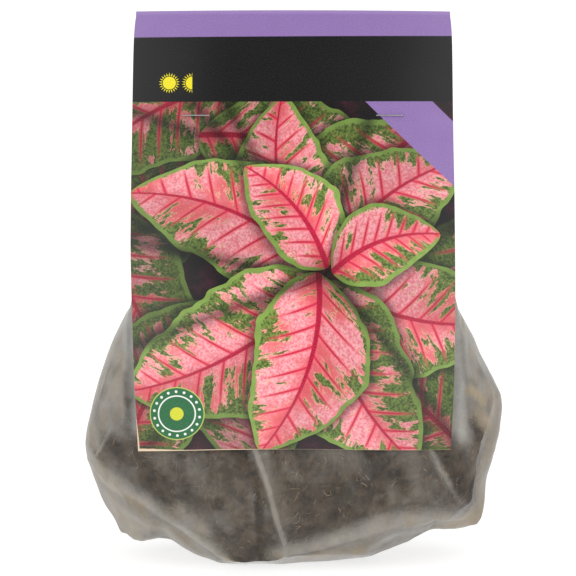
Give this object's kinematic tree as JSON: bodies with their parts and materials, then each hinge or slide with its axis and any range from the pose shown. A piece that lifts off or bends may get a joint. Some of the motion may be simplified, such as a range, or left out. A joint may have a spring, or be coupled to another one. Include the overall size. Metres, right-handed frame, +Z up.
{
  "type": "bag of caladium tubers",
  "caption": "Clear gusseted film bag of peat holding caladium tubers, closed by a tall printed header card folded over its mouth and stapled; stands on its filled bottom.",
  "frame": {"origin": "middle of the object's box, on the surface it stands on", "axes": "+Z up, the card's printed front faces -Y, +X to the right seen from the front"},
  "size_m": [0.1954, 0.0898, 0.2527],
  "materials": {
    "film": "thin milky film, satin, creased",
    "card": "coated printed card, soft gloss",
    "peat": "loose brown peat and fibre",
    "tuber": "dry, scarred skin",
    "staple_wire": "galvanised wire"
  },
  "bodies": {
    "root": {"poly_bag": "film", "header_card": "card", "peat_fill": "peat", "tuber_1": "tuber", "tuber_2": "tuber", "staple_left": "staple_wire", "staple_right": "staple_wire"}
  },
  "joints": []
}
